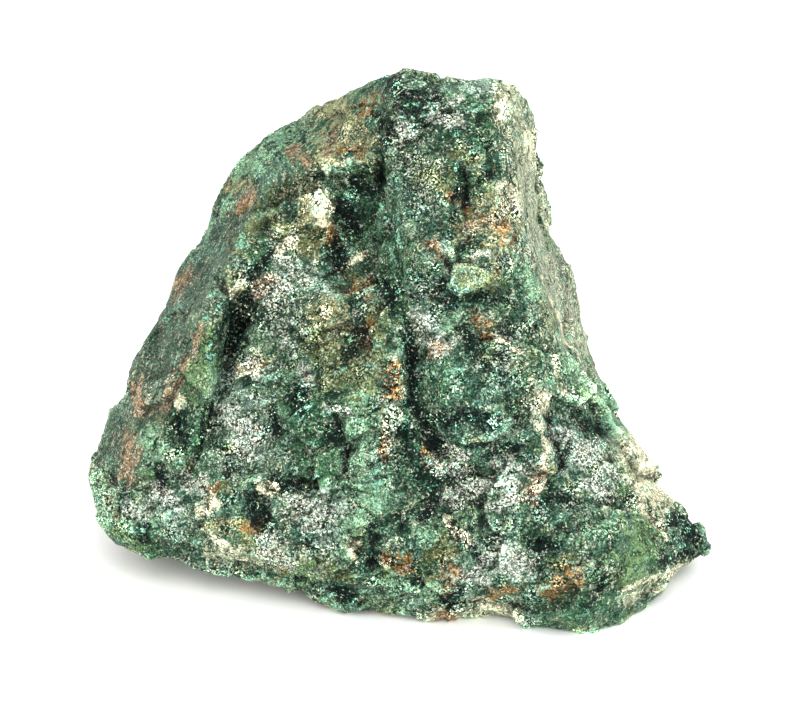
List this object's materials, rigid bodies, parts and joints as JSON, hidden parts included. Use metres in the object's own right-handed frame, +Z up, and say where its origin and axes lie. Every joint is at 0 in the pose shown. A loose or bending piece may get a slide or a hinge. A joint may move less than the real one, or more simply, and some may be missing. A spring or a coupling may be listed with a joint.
{
  "type": "rough green jade stone",
  "caption": "Rough chunk of mottled green jade-bearing stone, wide at its flat foot and narrow at its blunt top, with a cracked, stepped front face.",
  "frame": {"origin": "middle of the stone's bounding box, on the plane it rests on", "axes": "+X across the front from the left corner to the right tip, +Y from the front to the back, +Z up"},
  "size_m": [0.08, 0.0596, 0.0583],
  "materials": {
    "jade": "raw, sugary broken surface, mottled dark to pale green with cream veins, white flecks and rust stains"
  },
  "bodies": {
    "root": {"jade_boulder": "jade"}
  },
  "joints": []
}
